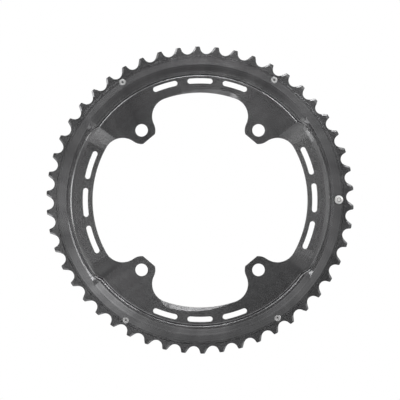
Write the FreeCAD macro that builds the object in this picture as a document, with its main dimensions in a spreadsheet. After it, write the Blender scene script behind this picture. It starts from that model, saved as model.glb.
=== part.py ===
import FreeCAD, Part
import math
import os
import Sketcher

# Outer chainring of a bicycle crankset, lying on its back.
# The ring's axis is +Z, its front (the crank arm's side) looks up, and z = 0 is the back face of the web.
# Angles are measured from +X, counter-clockwise seen from the front. All lengths are in millimetres.

SIZES = {
    # Chain and teeth
    "tooth_count": 50,
    "chain_pitch": 12.7,
    "root_depth": 3.98,
    "tip_rise": 0.94,
    "seat_radius": 4.1,
    "lead_flank_angle": 18.0,
    "trail_flank_angle": 34.0,
    "tip_corner": 0.45,
    "first_gap_angle": 1.2,
    "tooth_back": 1.2,
    "tooth_thickness": 2.1,
    "tip_bevel_width": 1.7,
    "tip_bevel_depth": 0.4,
    # Front chamfer along each trailing flank
    "flank_chamfer_width": 1.0,
    "flank_chamfer_depth": 0.6,
    "flank_chamfer_angle": 6.0,
    "flank_chamfer_foot": 0.3,
    # Teeth trimmed for shifting: how far the leading flank is set back
    "trim_strong": 0.75,
    "trim_middle": 0.55,
    "trim_light": 0.4,
    "trim_angle": 27.0,
    # Shoulder and band, each step measured inwards from the one before, from the teeth's root circle
    "tooth_land": 1.25,
    "shoulder_run": 0.7,
    "shoulder_width": 1.2,
    "shoulder_height": 4.2,
    "band_angle": 21.04,
    "blank_height": 6.8,
    "back_step_inset": 8.15,
    "back_step_run": 0.7,
    # Raised web of the side sections, and outwards from its edge the rise and the shallow valley
    "side_top_radius": 83.4,
    "side_top_height": 5.9,
    "side_inner_height": 5.3,
    "side_crown_run": 1.8,
    "side_edge_height": 5.5,
    "side_rise_run": 0.9,
    "side_valley_width": 1.3,
    "side_valley_height": 5.0,
    "side_cone_angle": 43.6,
    # Low web of the arm sections, and outwards from its edge the groove, the ledge and the cone
    "arm_web_inset": 1.0,
    "web_height": 4.0,
    "groove_inner_run": 1.0,
    "groove_floor_height": 3.3,
    "groove_outer_run": 1.0,
    "ledge_width": 1.3,
    "ledge_height": 4.2,
    "arm_cone_angle": 18.8,
    # Ramps between the two sections, on the upper left and upper right and again half a turn on
    "left_ramp_angle": 144.0,
    "right_ramp_angle": 39.0,
    "ramp_turn_angle": 11.5,
    "swerve_angle": 3.9,
    # Window with its four ears
    "window_radius": 71.5,
    "bolt_circle": 121.0,
    "bolt_angle": 50.05,
    "bolt_hole": 8.4,
    "ear_radius": 9.15,
    "ear_flat": 7.55,
    "ear_fillet": 12.4,
    # Slots through the web, set outwards from the window's edge
    "slot_width": 3.6,
    "arm_slot_offset": 7.8,
    "arm_slot_turn_angle": 12.1,
    "arm_slot_spacing_angle": 17.0,
    "arm_slot_middle_angle": 90.0,
    "side_slot_offset": 4.75,
    "side_slot_turn_angle": 14.45,
    "side_slot_spacing_angle": 19.0,
    "side_slot_middle_angle": 181.15,
    # Run-out bevel along the window's edge, cut about a centre of its own
    "edge_bevel_centre": 13.9,
    "edge_bevel_angle": 72.0,
    "edge_bevel_inset": 10.95,
    "edge_bevel_width": 3.4,
    "edge_bevel_depth": 2.2,
    "edge_bevel_end_angle": 74.7,
    "edge_bevel_sweep_angle": 48.0,
    "edge_bevel_tool": 9.4,
    # Shift rivets, set inwards from the shoulder's top
    "rivet_inset": 1.6,
    "rivet_left_angle": 123.35,
    "rivet_right_angle": 58.3,
    "rivet_shank": 4.3,
    "rivet_front_rise": 0.3,
    "rivet_back_head": 5.6,
    "rivet_back_rise": 0.9,
    # Relief beside each rivet on the back of the tooth plate, which lifts the chain
    "lift_recess_depth": 0.6,
    "lift_recess_length": 9.0,
    "lift_recess_width": 3.6,
    "lift_recess_offset": 8.0,
    # Chain stop pin behind the crank arm, set inwards from the shoulder's top
    "stop_pin_inset": 3.3,
    "stop_pin_angle": 0.15,
    "stop_pin_shank": 3.4,
    "stop_pin_head": 5.5,
    "stop_pin_rise": 6.0,
    "stop_pin_step": 4.0,
    "stop_pin_step_rise": 1.2,
    "stop_pin_back_head": 4.2,
    "stop_pin_back_rise": 0.7,
    "stop_pin_seat_height": 4.5,
    "stop_pin_seat_clearance": 0.3,
    "pin_hole_clearance": 0.02,
}

# Where the sections of a ramp stand, as shares of its turn
RAMP_STEPS = (0.0, 0.17, 0.34, 0.5, 0.72, 1.0)
HALF_TURN_COPIES = 2
OVERRUN = 1.5
UP = FreeCAD.Vector(0, 0, 1)
# A crease that only the ramps need starts this far inside the low web's edge
CREASE_START = 0.3
# Ends of edges nearer than this are one point
JOINED = 1e-6
# Teeth with a trimmed leading corner, counted counter-clockwise from the first gap, and again half a turn on
TRIMMED_TEETH = ((5, "trim_strong"), (9, "trim_light"), (18, "trim_middle"))


def make_sheet(doc):
    """Put every driving dimension into a spreadsheet cell with its own alias."""
    sheet = doc.addObject("Spreadsheet::Sheet", "sizes")
    for row, (alias, value) in enumerate(SIZES.items(), start=1):
        sheet.set("A%d" % row, alias)
        sheet.set("B%d" % row, str(value))
        sheet.setAlias("B%d" % row, alias)
    doc.recompute()
    return sheet


doc = FreeCAD.newDocument("chainring")
sheet = make_sheet(doc)


def size(alias):
    """Read one driving dimension back from the spreadsheet."""
    return float(sheet.get(alias))


def polar(radius, degrees, height=0.0):
    """Point at a radius and an angle round the ring's axis."""
    turn = math.radians(degrees)
    return FreeCAD.Vector(radius * math.cos(turn), radius * math.sin(turn), height)


def pitch_radius():
    """Radius of the circle through the chain's pins."""
    return size("chain_pitch") / (2.0 * math.sin(math.pi / size("tooth_count")))


def tip_radius():
    return pitch_radius() + size("tip_rise")


def root_radius():
    return pitch_radius() - size("root_depth")


def tooth_front():
    return size("tooth_back") + size("tooth_thickness")


def origin_plane(body, role):
    """One of the body's own origin planes, found by its role."""
    return next(item for item in body.Origin.OriginFeatures if item.Role == role)


def new_sketch(body, name, role, offset=None):
    """Sketch attached to an origin plane of its body, shifted or turned by the offset."""
    sketch = body.newObject("Sketcher::SketchObject", name)
    sketch.AttachmentSupport = [(origin_plane(body, role), "")]
    sketch.MapMode = "FlatFace"
    if offset is not None:
        sketch.AttachmentOffset = offset
    return sketch


def at_height(height):
    return FreeCAD.Placement(FreeCAD.Vector(0, 0, height), FreeCAD.Rotation())


def join_ends(sketch, first, second):
    """Tie the end that two neighbouring edges of an outline share."""
    for first_end in (1, 2):
        for second_end in (1, 2):
            gap = sketch.getPoint(first, first_end).distanceToPoint(sketch.getPoint(second, second_end))
            if gap < JOINED:
                shared = Sketcher.Constraint("Coincident", first, first_end, second, second_end)
                sketch.addConstraint(shared)
                return


def add_outline(sketch, edges):
    """Add a closed run of edges and tie each to the next."""
    indices = [sketch.addGeometry(edge, False) for edge in edges]
    if len(indices) > 2:
        for place, index in enumerate(indices):
            join_ends(sketch, index, indices[(place + 1) % len(indices)])
    return indices


def line(start, end):
    return Part.LineSegment(start, end)


def polygon(points):
    """Closed run of straight edges."""
    return [line(point, points[(place + 1) % len(points)]) for place, point in enumerate(points)]


def arc(start, middle, end):
    """Arc of a circle through three points."""
    return Part.Arc(start, middle, end)


def bind_radius(sketch, index, name, alias, share=1.0):
    """Hold a circle's or an arc's radius at a share of a spreadsheet value."""
    place = sketch.addConstraint(Sketcher.Constraint("Radius", index, size(alias) * share))
    sketch.renameConstraint(place, name)
    sketch.setExpression("Constraints." + name, "sizes.%s * %s" % (alias, share))


def shoulder_top_radius():
    return root_radius() - size("tooth_land") - size("shoulder_run")


def band_foot_radius():
    return shoulder_top_radius() - size("shoulder_width")


def blank_inner_radius():
    """Radius to which the blank reaches inwards, just inside the ears."""
    return size("bolt_circle") / 2 - size("ear_radius") - OVERRUN


def slope(angle_alias):
    """Rise for each millimetre of run of a face at this angle to the ring's plane."""
    return math.tan(math.radians(size(angle_alias)))


def band_height(radius):
    """Height of the band's outer face at a radius."""
    return size("shoulder_height") + (band_foot_radius() - radius) * slope("band_angle")


def ease(share):
    """Start steeply at 0 and level out at 1."""
    return 1.0 - (1.0 - share) ** 2


def blank_points():
    """Half section of the turned blank, before its inner relief is cut, as radius and height."""
    front = tooth_front()
    back = size("tooth_back")
    tip = tip_radius()
    shoulder = shoulder_top_radius()
    band_foot = band_foot_radius()
    back_step = root_radius() - size("back_step_inset")
    inner = blank_inner_radius()
    top = size("blank_height")
    band_run = (top - size("shoulder_height")) / slope("band_angle")
    return [
        (inner, 0.0),
        (back_step, 0.0),
        (back_step + size("back_step_run"), back),
        (tip, back),
        (tip, front - size("tip_bevel_depth")),
        (tip - size("tip_bevel_width"), front),
        (shoulder + size("shoulder_run"), front),
        (shoulder, size("shoulder_height")),
        (band_foot, size("shoulder_height")),
        (band_foot - band_run, top),
        (inner, top),
    ]


def arm_section():
    """Corners of the arms' low section from the cone's foot inwards, and the slope of its cone."""
    web = size("web_height")
    web_edge = size("side_top_radius") - size("arm_web_inset")
    groove = web_edge + size("groove_inner_run")
    ledge = groove + size("groove_outer_run")
    corners = [
        (ledge + size("ledge_width"), size("ledge_height")),
        (ledge, size("ledge_height")),
        (groove, size("groove_floor_height")),
        (web_edge, web),
        (web_edge - CREASE_START, web),
        (size("window_radius"), web),
    ]
    return corners, slope("arm_cone_angle")


def side_section():
    """Corners of the sides' raised section from the cone's foot inwards, and the slope of its cone."""
    top = size("side_top_radius")
    edge = top + size("side_crown_run")
    valley = size("side_valley_height")
    rise = edge + size("side_rise_run")
    width = size("side_valley_width")
    corners = [
        (rise + width, valley),
        (rise + width / 2, valley),
        (rise, valley),
        (edge, size("side_edge_height")),
        (top, size("side_top_height")),
        (size("window_radius"), size("side_inner_height")),
    ]
    return corners, slope("side_cone_angle")


def relief_points(swerve, lift):
    """Section of what the relief takes off inside the band's crest, as radius and height.

    swerve moves the radii from the arms' section (0) to the sides' (1), and lift moves the heights.
    """
    low, low_cone = arm_section()
    high, high_cone = side_section()
    corners = [(near[0] + (far[0] - near[0]) * swerve, near[1] + (far[1] - near[1]) * lift)
               for near, far in zip(low, high)]
    cone = low_cone + (high_cone - low_cone) * swerve
    top = size("blank_height") + OVERRUN
    inside = blank_inner_radius() - OVERRUN
    foot = corners[0]
    start = (foot[0] + (top - foot[1]) / cone, top)
    return [start] + corners + [(inside, size("web_height")), (inside, top)]


def radial_sketch(body, name, degrees, points):
    """Closed outline of radius and height in the plane that holds the ring's axis at this angle."""
    turn = FreeCAD.Placement(FreeCAD.Vector(), FreeCAD.Rotation(FreeCAD.Vector(0, 1, 0), degrees))
    sketch = new_sketch(body, name, "XZ_Plane", turn)
    add_outline(sketch, polygon([FreeCAD.Vector(radius, height, 0) for radius, height in points]))
    return sketch


def add_blank(body):
    """Turned blank of the ring."""
    sketch = radial_sketch(body, "blank_section", 0.0, blank_points())
    blank = body.newObject("PartDesign::Revolution", "blank")
    blank.Profile = sketch
    blank.ReferenceAxis = (sketch, ["V_Axis"])
    blank.Angle = 360.0
    return blank


def add_relief_sector(body, name, start, angle_expression, side):
    """Relief of one constant section, cut counter-clockwise from its start angle."""
    sketch = radial_sketch(body, name + "_section", start, relief_points(side, side))
    sector = body.newObject("PartDesign::Groove", name)
    sector.Profile = sketch
    sector.ReferenceAxis = (sketch, ["V_Axis"])
    sector.setExpression("Angle", angle_expression)
    return sector


def add_ramp(body, name, start, direction):
    """Lofted cut from the arms' low section to the sides' raised one, leftwards (+1) or rightwards (-1).

    The radii swerve straight outwards at first, and the heights ease in over the whole turn.
    """
    turn = size("ramp_turn_angle")
    sections = []
    for place, step in enumerate(RAMP_STEPS):
        points = relief_points(min(step * turn / size("swerve_angle"), 1.0), ease(step))
        degrees = start + direction * step * turn
        sections.append(radial_sketch(body, "%s_section_%d" % (name, place), degrees, points))
    ramp = body.newObject("PartDesign::SubtractiveLoft", name)
    ramp.Profile = sections[0]
    ramp.Sections = sections[1:]
    ramp.Ruled = True
    return ramp


def polar_pattern(body, name, originals, occurrences_expression):
    """Repeat features evenly round the ring's axis."""
    pattern = body.newObject("PartDesign::PolarPattern", name)
    pattern.Originals = originals
    pattern.Axis = (next(item for item in body.Origin.OriginFeatures if item.Role == "Z_Axis"), [""])
    pattern.Angle = 360.0
    pattern.setExpression("Occurrences", occurrences_expression)
    body.Tip = pattern
    return pattern


def add_pocket(body, name, sketch):
    """Cut a sketch's outlines right through, upwards from the sketch."""
    pocket = body.newObject("PartDesign::Pocket", name)
    pocket.Profile = sketch
    pocket.Type = "ThroughAll"
    pocket.Reversed = True
    return pocket


def add_relief(body):
    """Inner relief of the front: low across the arms, raised at the sides, with ramps between."""
    left = size("left_ramp_angle")
    right = size("right_ramp_angle")
    arm_turn = "sizes.left_ramp_angle - sizes.right_ramp_angle"
    side_turn = "180 - (%s) - 2 * sizes.ramp_turn_angle" % arm_turn
    low = add_relief_sector(body, "arm_relief", right, arm_turn, 0.0)
    high = add_relief_sector(body, "side_relief", left + size("ramp_turn_angle"), side_turn, 1.0)
    left_ramp = add_ramp(body, "left_ramp", left, 1.0)
    right_ramp = add_ramp(body, "right_ramp", 180.0 + right, -1.0)
    return polar_pattern(body, "relief_halves", [low, high, left_ramp, right_ramp], str(HALF_TURN_COPIES))


def flank_frame(degrees):
    """Radial and tangential unit vectors of the tooth gap at this angle."""
    return polar(1.0, degrees), polar(1.0, degrees + 90.0)


def gap_flank(side, flank_angle):
    """One side of a tooth gap in the gap's own tangential and radial coordinates.

    side is +1 for the leading flank of the tooth after the gap and -1 for the trailing flank of the
    tooth before it. The seat's arc runs into a straight flank, and a small facet breaks the tip's corner.
    Returned are the seat's tangent point, the flank's end and the facet's end on the tip.
    """
    lean = math.radians(flank_angle)
    seat = size("seat_radius")
    start = FreeCAD.Vector(seat * math.cos(lean), root_radius() + seat - seat * math.sin(lean), 0)
    along = FreeCAD.Vector(math.sin(lean), math.cos(lean), 0)
    inward = FreeCAD.Vector(math.cos(lean), -math.sin(lean), 0)
    corner = size("tip_corner")
    base = start + inward * corner
    reach = tip_radius() - corner
    half = base.dot(along)
    travel = -half + math.sqrt(half * half - base.dot(base) + reach * reach)
    flank_end = start + along * travel
    centre = base + along * travel
    tip_end = centre + FreeCAD.Vector(centre).normalize() * corner
    return [FreeCAD.Vector(side * point.x, point.y, 0) for point in (start, flank_end, tip_end)]


def tooth_gap_edges(degrees):
    """Outline cut away between two teeth: roller seat, two unlike flanks and broken tip corners."""
    radial, tangential = flank_frame(degrees)

    def place(point):
        return tangential * point.x + radial * point.y

    lead = [place(point) for point in gap_flank(1.0, size("lead_flank_angle"))]
    trail = [place(point) for point in gap_flank(-1.0, size("trail_flank_angle"))]
    seat_bottom = radial * root_radius()
    stretch = (tip_radius() + OVERRUN) / tip_radius()
    lead_out = lead[2] * stretch
    trail_out = trail[2] * stretch
    return [
        arc(trail[0], seat_bottom, lead[0]),
        line(lead[0], lead[1]),
        line(lead[1], lead[2]),
        line(lead[2], lead_out),
        line(lead_out, trail_out),
        line(trail_out, trail[2]),
        line(trail[2], trail[1]),
        line(trail[1], trail[0]),
    ]


def add_tooth_gap(body):
    """One gap between teeth, cut through the tooth plate."""
    sketch = new_sketch(body, "tooth_gap_outline", "XY_Plane", at_height(-OVERRUN))
    indices = add_outline(sketch, tooth_gap_edges(size("first_gap_angle")))
    bind_radius(sketch, indices[0], "seat", "seat_radius")
    return add_pocket(body, "tooth_gap", sketch)


def add_flank_chamfer(body):
    """Front chamfer along one trailing flank, widening from the flank's foot to the tip."""
    radial, tangential = flank_frame(size("first_gap_angle"))
    start = gap_flank(-1.0, size("trail_flank_angle"))[0]
    lean = math.radians(size("trail_flank_angle") + size("flank_chamfer_angle"))
    along = tangential * -math.sin(lean) + radial * math.cos(lean)
    into_tooth = tangential * -math.cos(lean) + radial * -math.sin(lean)
    foot = along * size("flank_chamfer_foot")
    base = tangential * start.x + radial * start.y - foot + UP * tooth_front()
    normal = into_tooth.cross(UP)
    turn = FreeCAD.Rotation(into_tooth, UP, normal, "ZXY")
    sketch = new_sketch(body, "flank_chamfer_outline", "XY_Plane", FreeCAD.Placement(base, turn))
    width = size("flank_chamfer_width")
    depth = size("flank_chamfer_depth")
    upper = FreeCAD.Vector(width * 2, depth, 0)
    lower = FreeCAD.Vector(-width, -depth * 2, 0)
    add_outline(sketch, polygon([upper, FreeCAD.Vector(lower.x, upper.y, 0), lower]))
    pocket = body.newObject("PartDesign::Pocket", "flank_chamfer")
    pocket.Profile = sketch
    pocket.Type = "Length"
    pocket.Length = 2 * OVERRUN + size("tip_rise") + size("root_depth")
    pocket.Reversed = normal.dot(along) > 0
    return pocket


def trimmed_tooth_edges(tooth_index, set_back):
    """Three-sided cut that takes the leading corner off one tooth."""
    step = 360.0 / size("tooth_count")
    centre = size("first_gap_angle") + step * (tooth_index + 0.5)
    radial, tangential = flank_frame(centre - step / 2)
    lean = math.radians(size("trim_angle"))
    foot = gap_flank(1.0, size("lead_flank_angle"))[0]
    rise_to_tip = tip_radius() + OVERRUN - foot.y
    inner = tangential * (foot.x - OVERRUN) + radial * foot.y
    low = tangential * foot.x + radial * foot.y
    top = tangential * (foot.x + set_back + rise_to_tip * math.tan(lean)) + radial * (foot.y + rise_to_tip)
    outer = tangential * (foot.x - OVERRUN) + radial * (foot.y + rise_to_tip)
    return polygon([inner, low, top, outer])


def add_trimmed_teeth(body):
    """Teeth whose leading corner is cut away so that the chain can climb there."""
    sketch = new_sketch(body, "tooth_trim_outline", "XY_Plane", at_height(-OVERRUN))
    for tooth_index, alias in TRIMMED_TEETH:
        add_outline(sketch, trimmed_tooth_edges(tooth_index, size(alias)))
    return add_pocket(body, "tooth_trim", sketch)


def ear_edges(bolt_degrees):
    """Edge of one ear, from the window's circle round the bolt hole and back, counter-clockwise.

    Two concave arcs leave the window's circle and meet the ear's arc, which a flat cuts on the side
    that faces the ring's axis.
    """
    hub = size("bolt_circle") / 2
    window = size("window_radius")
    ear = size("ear_radius")
    fillet = size("ear_fillet")
    reach = window - fillet
    span = math.degrees(math.acos((reach ** 2 + hub ** 2 - (ear + fillet) ** 2) / (2 * reach * hub)))
    hole = polar(hub, bolt_degrees)
    flat_half = math.degrees(math.acos(size("ear_flat") / ear))
    points = {}
    for side in (-1.0, 1.0):
        centre = polar(reach, bolt_degrees + side * span)
        rim = polar(window, bolt_degrees + side * span)
        toward_hole = (hole - centre).normalize()
        waist = centre + toward_hole * fillet
        middle = centre + (polar(1.0, bolt_degrees + side * span) + toward_hole).normalize() * fillet
        flat_end = hole + polar(ear, bolt_degrees + 180.0 - side * flat_half)
        from_hole = (waist - hole).normalize() + (flat_end - hole).normalize()
        ear_middle = hole + from_hole.normalize() * ear
        points[side] = (rim, middle, waist, ear_middle, flat_end)
    before = points[-1.0]
    after = points[1.0]
    edges = [
        arc(before[0], before[1], before[2]),
        arc(before[2], before[3], before[4]),
        line(before[4], after[4]),
        arc(after[4], after[3], after[2]),
        arc(after[2], after[1], after[0]),
    ]
    return edges, before[0], after[0], bolt_degrees - span, bolt_degrees + span


def bolt_angles():
    """Angles of the four bolt holes, counter-clockwise: a rectangle, not a square."""
    lean = size("bolt_angle")
    return [lean, 180.0 - lean, 180.0 + lean, 360.0 - lean]


def add_window(body):
    """Large window that leaves the four ears standing."""
    window = size("window_radius")
    ears = [ear_edges(degrees) for degrees in bolt_angles()]
    edges = []
    for place, ear in enumerate(ears):
        following = ears[(place + 1) % len(ears)]
        edges.extend(ear[0])
        start = ear[4]
        end = following[3] + (360.0 if following[3] < start else 0.0)
        edges.append(arc(ear[2], polar(window, (start + end) / 2), following[1]))
    sketch = new_sketch(body, "window_outline", "XY_Plane", at_height(-OVERRUN))
    add_outline(sketch, edges)
    return add_pocket(body, "window", sketch)


def add_bolt_holes(body):
    """Four through holes for the chainring bolts."""
    sketch = new_sketch(body, "bolt_hole_outline", "XY_Plane", at_height(-OVERRUN))
    for place, degrees in enumerate(bolt_angles()):
        circle = Part.Circle(polar(size("bolt_circle") / 2, degrees), UP, size("bolt_hole") / 2)
        index = sketch.addGeometry(circle, False)
        bind_radius(sketch, index, "hole_%d" % place, "bolt_hole", 0.5)
    return add_pocket(body, "bolt_holes", sketch)


def slot_edges(radius, middle, turn, width):
    """Slot along an arc, with round ends; turn is the angle from end to end."""
    outer = radius + width / 2
    inner = radius - width / 2
    round_end = math.degrees(width / 2 / radius)
    start = middle - turn / 2 + round_end
    end = middle + turn / 2 - round_end
    return [
        arc(polar(outer, start), polar(outer, middle), polar(outer, end)),
        arc(polar(outer, end), polar(radius, end + round_end), polar(inner, end)),
        arc(polar(inner, end), polar(inner, middle), polar(inner, start)),
        arc(polar(inner, start), polar(radius, start - round_end), polar(outer, start)),
    ]


def add_slots(body, group):
    """Three slots through the web in one sector, centred on the sector's middle angle."""
    sketch = new_sketch(body, group + "_slot_outline", "XY_Plane", at_height(-OVERRUN))
    middle = size(group + "_slot_middle_angle")
    turn = size(group + "_slot_turn_angle")
    radius = size("window_radius") + size(group + "_slot_offset")
    for place in (-1, 0, 1):
        degrees = middle + place * size(group + "_slot_spacing_angle")
        add_outline(sketch, slot_edges(radius, degrees, turn, size("slot_width")))
    return add_pocket(body, group + "_slots", sketch)


def edge_bevel_radius():
    return size("window_radius") - size("edge_bevel_inset")


def add_edge_bevel(body, name, half_turn):
    """Bevel along the window's front edge, cut about an offset centre so that it widens along its way."""
    centre = polar(size("edge_bevel_centre"), size("edge_bevel_angle") + half_turn)
    radius = edge_bevel_radius()
    end = size("edge_bevel_end_angle") + half_turn
    top = size("web_height")
    fall = size("edge_bevel_depth") / size("edge_bevel_width")
    offset = FreeCAD.Placement(FreeCAD.Vector(centre.x, 0, -centre.y), FreeCAD.Rotation())
    offset = offset.multiply(FreeCAD.Placement(
        FreeCAD.Vector(), FreeCAD.Rotation(FreeCAD.Vector(0, 1, 0), end)))
    sketch = new_sketch(body, name + "_section", "XZ_Plane", offset)
    reach = 2 * size("edge_bevel_width")
    outline = [
        FreeCAD.Vector(radius + OVERRUN, top + fall * OVERRUN, 0),
        FreeCAD.Vector(radius - reach, top + fall * OVERRUN, 0),
        FreeCAD.Vector(radius - reach, top - fall * reach, 0),
    ]
    add_outline(sketch, polygon(outline))
    groove = body.newObject("PartDesign::Groove", name)
    groove.Profile = sketch
    groove.ReferenceAxis = (sketch, ["V_Axis"])
    groove.setExpression("Angle", "sizes.edge_bevel_sweep_angle")
    return groove


def add_bevel_run_out(body, name, half_turn):
    """Conical end of the window-edge bevel, where the cutter stopped."""
    centre = polar(size("edge_bevel_centre"), size("edge_bevel_angle") + half_turn)
    tool = size("edge_bevel_tool")
    fall = size("edge_bevel_depth") / size("edge_bevel_width")
    spot = centre + polar(edge_bevel_radius() - tool, size("edge_bevel_end_angle") + half_turn)
    cutter = body.newObject("PartDesign::SubtractiveCone", name)
    cutter.AttachmentSupport = [(origin_plane(body, "XY_Plane"), "")]
    cutter.MapMode = "FlatFace"
    cutter.AttachmentOffset = FreeCAD.Placement(
        FreeCAD.Vector(spot.x, spot.y, size("web_height") - fall * tool / 2), FreeCAD.Rotation())
    cutter.Radius1 = tool / 2
    cutter.Radius2 = tool + OVERRUN
    cutter.Height = fall * (tool / 2 + OVERRUN)
    return cutter


def add_round_pocket(body, name, radius_from_axis, degrees_list, diameter_alias, extra, floor):
    """Round pockets with a flat floor, or holes where the floor is below the part."""
    sketch = new_sketch(body, name + "_outline", "XY_Plane", at_height(floor))
    for degrees in degrees_list:
        radius = size(diameter_alias) / 2 + extra
        sketch.addGeometry(Part.Circle(polar(radius_from_axis, degrees), UP, radius), False)
    return add_pocket(body, name, sketch)


def rivet_circle_radius():
    return shoulder_top_radius() - size("rivet_inset")


def stop_pin_circle_radius():
    return shoulder_top_radius() - size("stop_pin_inset")


def rivet_angles():
    left = size("rivet_left_angle")
    right = size("rivet_right_angle")
    return [right, left, right + 180.0, left + 180.0]


def add_lift_recesses(body):
    """Shallow relief beside each rivet, on the back of the tooth plate."""
    sketch = new_sketch(body, "lift_recess_outline", "XY_Plane", at_height(size("tooth_back") - OVERRUN))
    radius = rivet_circle_radius()
    turn = math.degrees(size("lift_recess_length") / radius)
    offset = math.degrees(size("lift_recess_offset") / radius)
    half_width = size("lift_recess_width") / 2
    for degrees in rivet_angles():
        start = degrees - offset - turn / 2
        end = degrees - offset + turn / 2
        add_outline(sketch, polygon([
            polar(radius - half_width, start), polar(radius + half_width, start),
            polar(radius + half_width, end), polar(radius - half_width, end)]))
    recess = body.newObject("PartDesign::Pocket", "lift_recesses")
    recess.Profile = sketch
    recess.Type = "Length"
    recess.Length = size("lift_recess_depth") + OVERRUN
    recess.Reversed = True
    return recess


def make_chainring():
    """The ring itself: one machined piece."""
    body = doc.addObject("PartDesign::Body", "chainring")
    body.Label = "chainring"
    add_blank(body)
    add_window(body)
    arm_slots = add_slots(body, "arm")
    side_slots = add_slots(body, "side")
    polar_pattern(body, "slot_halves", [arm_slots, side_slots], str(HALF_TURN_COPIES))
    add_relief(body)
    for name, half_turn in (("upper_bevel", 0.0), ("lower_bevel", 180.0)):
        add_edge_bevel(body, name, half_turn)
        add_bevel_run_out(body, name + "_end", half_turn)
    add_bolt_holes(body)
    clearance = size("pin_hole_clearance")
    rivets = rivet_angles()
    rivet_circle = rivet_circle_radius()
    add_round_pocket(body, "rivet_holes", rivet_circle, rivets, "rivet_shank", clearance, -OVERRUN)
    stop = [size("stop_pin_angle")]
    stop_circle = stop_pin_circle_radius()
    add_round_pocket(body, "stop_pin_seat", stop_circle, stop, "stop_pin_head",
                     size("stop_pin_seat_clearance"), size("stop_pin_seat_height"))
    add_round_pocket(body, "stop_pin_hole", stop_circle, stop, "stop_pin_shank", clearance, -OVERRUN)
    add_lift_recesses(body)
    trim = add_trimmed_teeth(body)
    polar_pattern(body, "trim_halves", [trim], str(HALF_TURN_COPIES))
    gap = add_tooth_gap(body)
    chamfer = add_flank_chamfer(body)
    polar_pattern(body, "teeth", [gap, chamfer], "sizes.tooth_count")
    return body


def turned_pin(name, outline, radius_from_axis, degrees):
    """Turned piece revolved about its own axis and set at its place on the ring."""
    body = doc.addObject("PartDesign::Body", name)
    body.Label = name
    sketch = new_sketch(body, name + "_section", "XZ_Plane")
    add_outline(sketch, polygon([FreeCAD.Vector(radius, height, 0) for radius, height in outline]))
    pin = body.newObject("PartDesign::Revolution", name + "_turned")
    pin.Profile = sketch
    pin.ReferenceAxis = (sketch, ["V_Axis"])
    pin.Angle = 360.0
    body.Placement = FreeCAD.Placement(polar(radius_from_axis, degrees), FreeCAD.Rotation())
    return body


def rivet_outline():
    """Half section of a shift rivet: a head behind the tooth plate and an end proud of the band."""
    back = size("tooth_back")
    shank = size("rivet_shank") / 2
    back_head = size("rivet_back_head") / 2
    top = band_height(rivet_circle_radius()) + size("rivet_front_rise")
    bottom = back - size("rivet_back_rise")
    return [
        (0.0, bottom),
        (back_head, bottom),
        (back_head, back),
        (shank, back),
        (shank, top),
        (0.0, top),
    ]


def stop_pin_outline():
    """Half section of the chain stop pin: shank through the band, collar and stepped nose in front."""
    seat = size("stop_pin_seat_height")
    back = size("tooth_back")
    shank = size("stop_pin_shank") / 2
    head = size("stop_pin_head") / 2
    nose = size("stop_pin_step") / 2
    back_head = size("stop_pin_back_head") / 2
    top = seat + size("stop_pin_rise")
    collar_top = top - size("stop_pin_step_rise")
    return [
        (0.0, back - size("stop_pin_back_rise")),
        (back_head, back - size("stop_pin_back_rise")),
        (back_head, back),
        (shank, back),
        (shank, seat),
        (head, seat),
        (head, collar_top),
        (nose, collar_top),
        (nose, top),
        (0.0, top),
    ]


def make_rivets():
    """Four shift rivets, each a piece of its own."""
    names = ("shift_rivet_upper_right", "shift_rivet_upper_left",
             "shift_rivet_lower_left", "shift_rivet_lower_right")
    outline = rivet_outline()
    radius = rivet_circle_radius()
    return [turned_pin(name, outline, radius, degrees) for name, degrees in zip(names, rivet_angles())]


def make_stop_pin():
    """Steel pin that keeps a dropped chain from falling between the ring and the crank arm."""
    return turned_pin("chain_stop_pin", stop_pin_outline(),
                      stop_pin_circle_radius(), size("stop_pin_angle"))


def check_and_export(parts):
    """Stop on any failed feature or bad shape, then write each piece to its own file."""
    doc.recompute()
    for item in doc.Objects:
        if "Invalid" in item.State or "Error" in item.State:
            raise RuntimeError("feature failed: " + item.Name)
    for part in parts:
        if part.Shape.isNull() or not part.Shape.isValid():
            raise RuntimeError("bad shape: " + part.Label)
    os.makedirs("parts", exist_ok=True)
    for part in parts:
        part.Shape.exportStep("parts/%s.step" % part.Label)
        print(part.Label, "volume", round(part.Shape.Volume, 2), "solids", len(part.Shape.Solids))


check_and_export([make_chainring()] + make_rivets() + [make_stop_pin()])
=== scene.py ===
import math
import bmesh
import bpy
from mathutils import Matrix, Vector


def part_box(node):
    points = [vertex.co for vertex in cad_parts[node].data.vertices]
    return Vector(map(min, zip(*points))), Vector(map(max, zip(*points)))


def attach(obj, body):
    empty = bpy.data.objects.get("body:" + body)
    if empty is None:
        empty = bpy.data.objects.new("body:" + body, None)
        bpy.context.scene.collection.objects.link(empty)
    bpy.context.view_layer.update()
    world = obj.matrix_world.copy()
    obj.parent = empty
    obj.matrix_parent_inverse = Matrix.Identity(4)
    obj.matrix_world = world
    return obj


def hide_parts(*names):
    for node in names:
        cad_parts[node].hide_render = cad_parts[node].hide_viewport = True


# A dark anodised chainring lying face up on a white table, seen from straight above.
# Lengths are in metres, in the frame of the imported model: +Z is the ring's axis and +X points at
# the stop pin. Materials measure in millimetres.

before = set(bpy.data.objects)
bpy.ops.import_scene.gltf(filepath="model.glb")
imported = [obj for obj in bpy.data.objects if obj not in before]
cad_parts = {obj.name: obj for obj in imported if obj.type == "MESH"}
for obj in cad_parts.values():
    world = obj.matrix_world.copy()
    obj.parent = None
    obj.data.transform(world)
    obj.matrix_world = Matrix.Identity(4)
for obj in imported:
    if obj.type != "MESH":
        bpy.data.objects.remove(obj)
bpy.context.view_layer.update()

MM = 0.001

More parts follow.
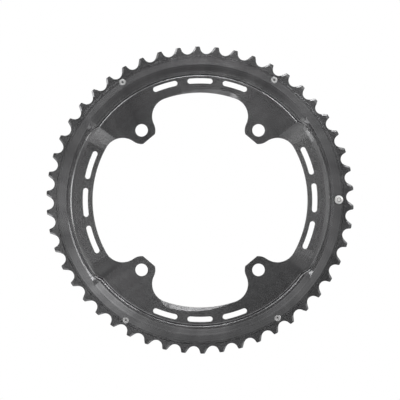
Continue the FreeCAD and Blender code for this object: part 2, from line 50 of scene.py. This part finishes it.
# Framing: a pixel's width at the height of the teeth, and how far right of and below the
# picture's middle the ring's axis stands, in pixels
PHOTO_PIXELS = 400
PIXEL = 0.6643 * MM
TEETH_HEIGHT = 3.0 * MM
AXIS_RIGHT = 0.05
AXIS_DOWN = 0.1
CAMERA_HEIGHT = 1.5
SENSOR_WIDTH = 36.0

# Brightness of the tent against the height of the direction, from level, 0, to straight up, 1
TENT_STRENGTH = 4.8
TENT = ((0.24, 0.0), (0.26, 0.85), (0.35, 0.85), (0.39, 0.32), (0.48, 0.32),
        (0.52, 0.0), (0.6, 0.0), (0.64, 0.22), (0.74, 0.22), (0.77, 0.09),
        (0.86, 0.06), (0.91, 0.07), (0.94, 0.13), (0.96, 0.13), (1.0, 0.02))
TABLE_SIZE = 6.0
TABLE_GREY = (0.82, 0.82, 0.82, 1.0)

# Anodised aluminium, with painted highlight streaks across the turning lines and a painted
# highlight lightening the higher side webs, which lie above the low web and inside the ledge.
ANODISED_DARK = (0.072, 0.072, 0.074)
ANODISED_PALE_AND_SHEEN = (0.145, 0.145, 0.147)
GRAZING_TINT = (0.25, 0.25, 0.25, 1.0)
LINES_A_MM = 2.6
COARSE_LINES_A_MM = 0.6
PATCHES_A_MM = 0.05
SHEEN_STREAKS_A_RADIAN = 9.0
SHEEN_STREAK_SLANT = 0.004
RAISED_WEB_SHEEN_HEIGHTS = (4.05, 5.2)
RAISED_WEB_SHEEN_RADII = (87.2, 85.4)

# Steel of the rivets and the pin
RIVET_GREY = (0.52, 0.52, 0.52)
PIN_GREY = (0.72, 0.72, 0.71)
STEEL_ROUGHNESS = 0.34
STEEL_LINES_A_MM = 2.0
# Radii and half widths of the rings of painted shade round a piece's axis, in millimetres
RIVET_SHADE_RINGS = ((0.0, 1.0),)
PIN_SHADE_RINGS = ((1.25, 0.25), (0.0, 0.25))

RIVETS = ("shift_rivet_upper_right", "shift_rivet_upper_left",
          "shift_rivet_lower_left", "shift_rivet_lower_right")
# Heights of the tooth plate's back, where the back heads end, and of the pin's seat
PLATE_BACK = 1.2 * MM
COLLAR_SEAT = 4.5 * MM
TURNED_STEPS = 64
WELD = 0.001 * MM


def new_material(name):
    """Material with an otherwise empty node tree, its tree and its shader."""
    material = bpy.data.materials.new(name)
    material.use_nodes = True
    tree = material.node_tree
    tree.nodes.clear()
    output = tree.nodes.new("ShaderNodeOutputMaterial")
    shader = tree.nodes.new("ShaderNodeBsdfPrincipled")
    tree.links.new(shader.outputs["BSDF"], output.inputs["Surface"])
    return material, tree, shader


def maths(tree, operation, *values):
    """Math node whose inputs are sockets or numbers; its value is returned."""
    node = tree.nodes.new("ShaderNodeMath")
    node.operation = operation
    for socket, value in zip(node.inputs, values):
        if isinstance(value, (int, float)):
            socket.default_value = value
        else:
            tree.links.new(value, socket)
    return node.outputs["Value"]


def weighted_sum(tree, *terms):
    """Sum of sockets, each times its own weight."""
    total = None
    for value, weight in terms:
        part = maths(tree, "MULTIPLY", value, weight)
        total = part if total is None else maths(tree, "ADD", total, part)
    return total


def spread(tree, value, low, high):
    """Value between 0 and 1 spread over another range."""
    node = tree.nodes.new("ShaderNodeMapRange")
    node.inputs["To Min"].default_value = low
    node.inputs["To Max"].default_value = high
    tree.links.new(value, node.inputs["Value"])
    return node.outputs["Result"]


def between(tree, value, low, high):
    """Share of the way of a value from low to high, eased and kept between 0 and 1."""
    node = tree.nodes.new("ShaderNodeMapRange")
    node.interpolation_type = "SMOOTHSTEP"
    node.inputs["From Min"].default_value = low
    node.inputs["From Max"].default_value = high
    tree.links.new(value, node.inputs["Value"])
    return node.outputs["Result"]


def place_on_piece(tree):
    """Object coordinates in millimetres as vector, x, y and z."""
    coordinates = tree.nodes.new("ShaderNodeTexCoord")
    scaled = tree.nodes.new("ShaderNodeVectorMath")
    scaled.operation = "SCALE"
    scaled.inputs["Scale"].default_value = 1.0 / MM
    tree.links.new(coordinates.outputs["Object"], scaled.inputs[0])
    split = tree.nodes.new("ShaderNodeSeparateXYZ")
    tree.links.new(scaled.outputs["Vector"], split.inputs["Vector"])
    return scaled.outputs["Vector"], split.outputs["X"], split.outputs["Y"], split.outputs["Z"]


def distance_from_axis(tree, x, y):
    """Length of the plan vector of two sockets."""
    across = maths(tree, "MULTIPLY", x, x)
    along = maths(tree, "MULTIPLY", y, y)
    return maths(tree, "SQRT", maths(tree, "ADD", across, along))


def noise_lines(tree, value, lines_a_unit):
    """Fine irregular lines across a value, from 0 to 1."""
    noise = tree.nodes.new("ShaderNodeTexNoise")
    noise.noise_dimensions = "1D"
    noise.inputs["Scale"].default_value = lines_a_unit
    noise.inputs["Detail"].default_value = 3.0
    tree.links.new(value, noise.inputs["W"])
    return noise.outputs["Fac"]


def soft_patches(tree, vector, patches_a_millimetre):
    """Soft patches all over a piece, from 0 to 1."""
    noise = tree.nodes.new("ShaderNodeTexNoise")
    noise.inputs["Scale"].default_value = patches_a_millimetre
    noise.inputs["Detail"].default_value = 4.0
    tree.links.new(vector, noise.inputs["Vector"])
    return noise.outputs["Fac"]


def tint(tree, dark, light, share):
    """Colour between two colours."""
    ramp = tree.nodes.new("ShaderNodeValToRGB")
    for stop, position, colour in zip(ramp.color_ramp.elements, (0.25, 0.75), (dark, light)):
        stop.position = position
        stop.color = colour + (1.0,)
    tree.links.new(share, ramp.inputs["Fac"])
    return ramp.outputs["Color"]


def rounded_and_turned(tree, shader, height, depth, edge):
    """Give a shader softly broken edges and a surface that rises and falls with a height."""
    bevel = tree.nodes.new("ShaderNodeBevel")
    bevel.samples = 6
    bevel.inputs["Radius"].default_value = edge
    bump = tree.nodes.new("ShaderNodeBump")
    bump.inputs["Distance"].default_value = depth
    bump.inputs["Strength"].default_value = 1.0
    tree.links.new(height, bump.inputs["Height"])
    tree.links.new(bevel.outputs["Normal"], bump.inputs["Normal"])
    tree.links.new(bump.outputs["Normal"], shader.inputs["Normal"])


def anodised_aluminium():
    """Dark anodised aluminium turned about the ring's axis, with painted highlight streaks across
    the turning lines and a painted highlight lightening the higher side webs.
    """
    material, tree, shader = new_material("anodised_aluminium")
    vector, x, y, z = place_on_piece(tree)
    radius = distance_from_axis(tree, x, y)
    lines = noise_lines(tree, radius, LINES_A_MM)
    coarse = noise_lines(tree, radius, COARSE_LINES_A_MM)
    sweep = soft_patches(tree, vector, PATCHES_A_MM)
    # Painted highlight: lighter radial streaks in the colour stand in for the highlights that fan
    # across the turning lines.
    slanted_turn = maths(tree, "ADD", maths(tree, "ARCTAN2", y, x),
                         maths(tree, "MULTIPLY", radius, SHEEN_STREAK_SLANT))
    sheen_streaks = noise_lines(tree, slanted_turn, SHEEN_STREAKS_A_RADIAN)
    # Painted highlight: the higher side webs are lightened in colour for the light they catch.
    raised_web_sheen = maths(tree, "MULTIPLY", between(tree, z, *RAISED_WEB_SHEEN_HEIGHTS),
                   between(tree, radius, *RAISED_WEB_SHEEN_RADII))
    share = weighted_sum(tree, (lines, 0.45), (coarse, 0.25), (sheen_streaks, 0.4), (sweep, 0.3),
                         (raised_web_sheen, 0.35))
    share = maths(tree, "SUBTRACT", share, 0.2)
    tree.links.new(tint(tree, ANODISED_DARK, ANODISED_PALE_AND_SHEEN, share), shader.inputs["Base Color"])
    tree.links.new(spread(tree, sweep, 0.2, 0.3), shader.inputs["Roughness"])
    shader.inputs["Metallic"].default_value = 1.0
    shader.inputs["Specular Tint"].default_value = GRAZING_TINT
    # A quarter turn lays the highlights across the turning lines, as on turned metal
    shader.inputs["Anisotropic"].default_value = 0.6
    shader.inputs["Anisotropic Rotation"].default_value = 0.25
    around = tree.nodes.new("ShaderNodeTangent")
    around.direction_type = "RADIAL"
    around.axis = "Z"
    tree.links.new(around.outputs["Tangent"], shader.inputs["Tangent"])
    rounded_and_turned(tree, shader, lines, 0.004 * MM, 0.35 * MM)
    return material


def turned_steel(name, colour, centre, shade_rings):
    """Bright steel turned about a piece's own axis, with painted shade in rings round that axis.
    """
    material, tree, shader = new_material(name)
    x, y = place_on_piece(tree)[1:3]
    radius = distance_from_axis(tree, maths(tree, "SUBTRACT", x, centre.x / MM),
                                maths(tree, "SUBTRACT", y, centre.y / MM))
    lines = noise_lines(tree, radius, STEEL_LINES_A_MM)
    share = spread(tree, lines, 0.55, 0.85)
    # Painted shade: the colour darkens in rings round the axis, in the rivet's dimple, beside the
    # pin's groove and at the pin's middle.
    for ring, half_width in shade_rings:
        off_ring = maths(tree, "ABSOLUTE", maths(tree, "SUBTRACT", radius, ring))
        outside = between(tree, off_ring, half_width * 0.4, half_width * 1.2)
        share = maths(tree, "MULTIPLY", share, outside)
    # Dark end of the colour, used partly by the turning lines and fully by the painted shade rings
    dark = tuple(channel * 0.2 for channel in colour)
    tree.links.new(tint(tree, dark, colour, share), shader.inputs["Base Color"])
    tree.links.new(spread(tree, lines, STEEL_ROUGHNESS, STEEL_ROUGHNESS + 0.12),
                   shader.inputs["Roughness"])
    shader.inputs["Metallic"].default_value = 1.0
    rounded_and_turned(tree, shader, lines, 0.01 * MM, 0.08 * MM)
    return material


def dress(node_name, material):
    """Give a CAD node its finish."""
    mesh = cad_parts[node_name].data
    mesh.materials.clear()
    mesh.materials.append(material)


def lathe(name, outline, centre):
    """Turned piece from its half section, as distance from its own axis and height."""
    mesh = bmesh.new()
    verts = [mesh.verts.new((radius, 0.0, height)) for radius, height in outline]
    edges = [mesh.edges.new(pair) for pair in zip(verts, verts[1:])]
    bmesh.ops.spin(mesh, geom=verts + edges, cent=(0, 0, 0), axis=(0, 0, 1), dvec=(0, 0, 0),
                   angle=2 * math.pi, steps=TURNED_STEPS, use_merge=True, use_duplicate=False)
    bmesh.ops.remove_doubles(mesh, verts=mesh.verts, dist=WELD)
    bmesh.ops.translate(mesh, verts=mesh.verts, vec=centre)
    bmesh.ops.recalc_face_normals(mesh, faces=mesh.faces)
    data = bpy.data.meshes.new(name)
    mesh.to_mesh(data)
    mesh.free()
    piece = bpy.data.objects.new(name, data)
    bpy.context.scene.collection.objects.link(piece)
    return piece


def node_axis(node_name):
    """Middle of a turned CAD node in plan, its lowest and highest points and its widest radius."""
    low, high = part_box(node_name)
    centre = Vector(((low.x + high.x) / 2, (low.y + high.y) / 2, 0.0))
    return centre, low.z, high.z, (high.x - low.x) / 2


def pressed_rivet(node_name):
    """Shift rivet with a broken edge and a round dimple in its front end."""
    centre, low, high, head = node_axis(node_name)
    shank = 2.15 * MM
    edge = 0.22 * MM
    dimple = 0.95 * MM
    lip = 0.2 * MM
    outline = [(0.0, low), (head - edge, low), (head, low + edge), (head, PLATE_BACK),
               (shank, PLATE_BACK), (shank, high - edge), (shank - edge, high),
               (dimple + lip, high), (dimple, high - 0.05 * MM),
               (dimple * 0.6, high - 0.3 * MM), (0.0, high - 0.38 * MM)]
    piece = lathe(node_name + "_detail", outline, centre)
    piece.data.materials.append(
        turned_steel(node_name + "_steel", RIVET_GREY, centre, RIVET_SHADE_RINGS))
    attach(piece, "root")
    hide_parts(node_name)


def turned_stop_pin(node_name):
    """Chain stop pin with chamfered collar and nose and a turning groove in its nose."""
    centre, low, high, head = node_axis(node_name)
    back_head = 2.1 * MM
    back_edge = 0.2 * MM
    shank = 1.7 * MM
    collar = high - 1.2 * MM
    nose = 2.0 * MM
    edge = 0.4 * MM
    groove = 1.0 * MM
    groove_side = 0.15 * MM
    outline = [(0.0, low), (back_head - back_edge, low), (back_head, low + back_edge),
               (back_head, PLATE_BACK), (shank, PLATE_BACK), (shank, COLLAR_SEAT),
               (head, COLLAR_SEAT), (head, collar - edge), (head - edge, collar),
               (nose, collar), (nose, high - edge), (nose - edge, high),
               (groove + groove_side, high), (groove, high - 0.12 * MM),
               (groove - groove_side, high), (0.0, high)]
    piece = lathe(node_name + "_detail", outline, centre)
    piece.data.materials.append(
        turned_steel(node_name + "_steel", PIN_GREY, centre, PIN_SHADE_RINGS))
    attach(piece, "root")
    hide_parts(node_name)


def table_top():
    """White table, full white to the camera and in the metal; it still takes the ring's shadow."""
    bpy.ops.mesh.primitive_plane_add(size=TABLE_SIZE, location=(0.0, 0.0, 0.0))
    table = bpy.context.object
    table.name = "table_top"
    material = bpy.data.materials.new("white_table")
    material.use_nodes = True
    tree = material.node_tree
    tree.nodes.clear()
    output = tree.nodes.new("ShaderNodeOutputMaterial")
    seen = tree.nodes.new("ShaderNodeEmission")
    matt = tree.nodes.new("ShaderNodeBsdfDiffuse")
    matt.inputs["Color"].default_value = TABLE_GREY
    path = tree.nodes.new("ShaderNodeLightPath")
    either = maths(tree, "MAXIMUM",
                   path.outputs["Is Camera Ray"], path.outputs["Is Glossy Ray"])
    mix = tree.nodes.new("ShaderNodeMixShader")
    tree.links.new(either, mix.inputs["Fac"])
    tree.links.new(matt.outputs["BSDF"], mix.inputs[1])
    tree.links.new(seen.outputs["Emission"], mix.inputs[2])
    tree.links.new(mix.outputs["Shader"], output.inputs["Surface"])
    table.data.materials.append(material)


def soft_light(name, place, width, height, power):
    """Soft rectangular light at a place, aimed at the ring's middle."""
    data = bpy.data.lights.new(name, "AREA")
    data.shape = "RECTANGLE"
    data.size = width
    data.size_y = height
    data.energy = power
    lamp = bpy.data.objects.new(name, data)
    bpy.context.scene.collection.objects.link(lamp)
    lamp.location = place
    lamp.rotation_euler = (-Vector(place)).to_track_quat("-Z", "Y").to_euler()


def surround():
    """White tent: a bright ring low down, and a dim roof round the camera's opening."""
    world = bpy.data.worlds.new("surround")
    world.use_nodes = True
    bpy.context.scene.world = world
    tree = world.node_tree
    direction = tree.nodes.new("ShaderNodeTexCoord")
    split = tree.nodes.new("ShaderNodeSeparateXYZ")
    tree.links.new(direction.outputs["Generated"], split.inputs["Vector"])
    fade = tree.nodes.new("ShaderNodeValToRGB")
    stops = fade.color_ramp.elements
    for stop, (position, level) in zip(stops, (TENT[0], TENT[-1])):
        stop.position = position
        stop.color = (level, level, level, 1.0)
    for position, level in TENT[1:-1]:
        stops.new(position).color = (level, level, level, 1.0)
    tree.links.new(split.outputs["Z"], fade.inputs["Fac"])
    background = tree.nodes["Background"]
    background.inputs["Strength"].default_value = TENT_STRENGTH
    tree.links.new(fade.outputs["Color"], background.inputs["Color"])


def studio():
    """Soft lights in the tent's roof and low round it, the strongest beyond the picture's top."""
    soft_light("right_far_light", (0.39, 0.39, 1.15), 0.3, 0.3, 1.1)
    soft_light("far_light", (0.0, 0.55, 1.15), 0.3, 0.3, 0.28)
    soft_light("right_light", (0.55, 0.0, 1.15), 0.3, 0.3, 0.4)
    soft_light("left_far_light", (-0.39, 0.39, 1.15), 0.3, 0.3, 0.3)
    soft_light("left_roof_light", (-0.36, 0.0, 1.7), 0.1, 0.25, 0.35)
    soft_light("far_roof_light", (0.03, 0.38, 1.7), 0.2, 0.1, 0.35)
    soft_light("near_roof_light", (-0.06, -0.12, 1.7), 0.12, 0.1, 0.17)
    soft_light("left_near_light", (-0.55, -0.75, 0.5), 0.5, 0.25, 1.1)
    soft_light("left_near_high_light", (-0.66, -0.45, 0.9), 0.35, 0.3, 0.62)
    soft_light("right_near_high_light", (0.68, -0.42, 0.9), 0.35, 0.3, 0.22)
    soft_light("far_low_light", (0.0, 0.98, 0.4), 0.7, 0.08, 3.6)
    soft_light("left_far_low_light", (-0.8, 0.8, 0.4), 0.5, 0.2, 2.8)
    soft_light("left_low_light", (-1.05, 0.0, 0.5), 0.4, 0.15, 1.6)
    soft_light("right_far_low_light", (0.82, 0.82, 0.36), 0.6, 0.06, 3.8)
    soft_light("right_level_light", (1.2, 0.5, 0.13), 0.6, 0.15, 3.0)


def overhead_camera():
    """Camera straight above the ring, framed as the photograph is."""
    data = bpy.data.cameras.new("overhead_camera")
    data.sensor_width = SENSOR_WIDTH
    data.lens = SENSOR_WIDTH * (CAMERA_HEIGHT - TEETH_HEIGHT) / (PHOTO_PIXELS * PIXEL)
    camera = bpy.data.objects.new("overhead_camera", data)
    bpy.context.scene.collection.objects.link(camera)
    camera.location = (-AXIS_RIGHT * PIXEL, AXIS_DOWN * PIXEL, CAMERA_HEIGHT)
    bpy.context.scene.camera = camera


overhead_camera()
surround()
studio()
table_top()
dress("chainring", anodised_aluminium())
for rivet in RIVETS:
    pressed_rivet(rivet)
turned_stop_pin("chain_stop_pin")
bpy.context.scene.view_settings.view_transform = "Standard"
